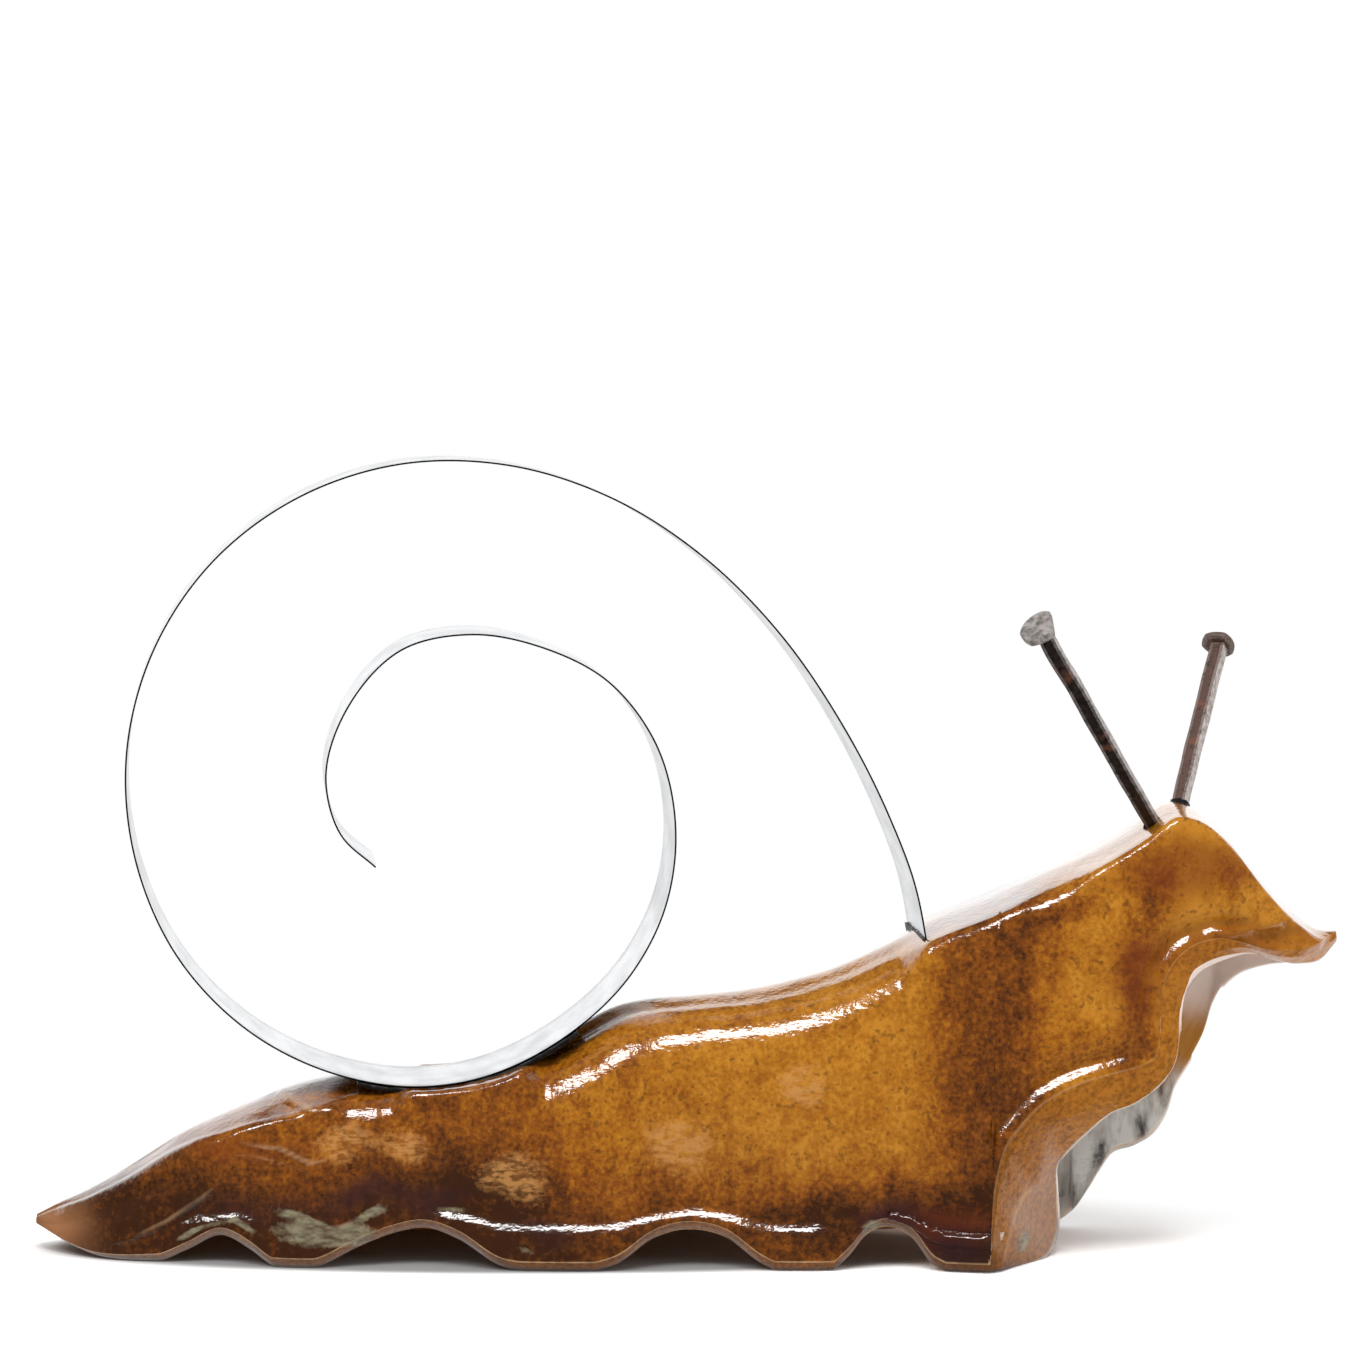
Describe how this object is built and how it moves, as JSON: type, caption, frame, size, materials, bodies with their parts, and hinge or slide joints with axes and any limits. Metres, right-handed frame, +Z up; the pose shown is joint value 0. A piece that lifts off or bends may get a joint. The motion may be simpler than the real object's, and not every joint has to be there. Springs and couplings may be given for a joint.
{
  "type": "snail ornament",
  "caption": "Standing snail ornament: a hollow glazed slab body with a scalloped hem, a spiral steel strip for its shell and forged nails for its tentacles.",
  "frame": {"origin": "on the floor, under the middle of the object's overall box", "axes": "+X towards the snail's head, +Y across its back away from the viewer, +Z up"},
  "size_m": [0.62, 0.1801, 0.3783],
  "materials": {
    "amber_glaze": "glossy amber glaze with dark speckle over hand-built stoneware",
    "strip_steel": "bare rolled steel strip with light scuffs",
    "forged_iron": "hand-forged nail iron with brown oxide",
    "dark_adhesive": "black epoxy adhesive"
  },
  "bodies": {
    "root": {"ceramic_body": "amber_glaze", "spiral_band": "strip_steel", "near_antenna_nail": "forged_iron", "far_antenna_nail": "forged_iron", "near_nail_adhesive": "dark_adhesive", "far_nail_adhesive": "dark_adhesive", "saddle_adhesive": "dark_adhesive", "slot_adhesive": "dark_adhesive"}
  },
  "joints": []
}
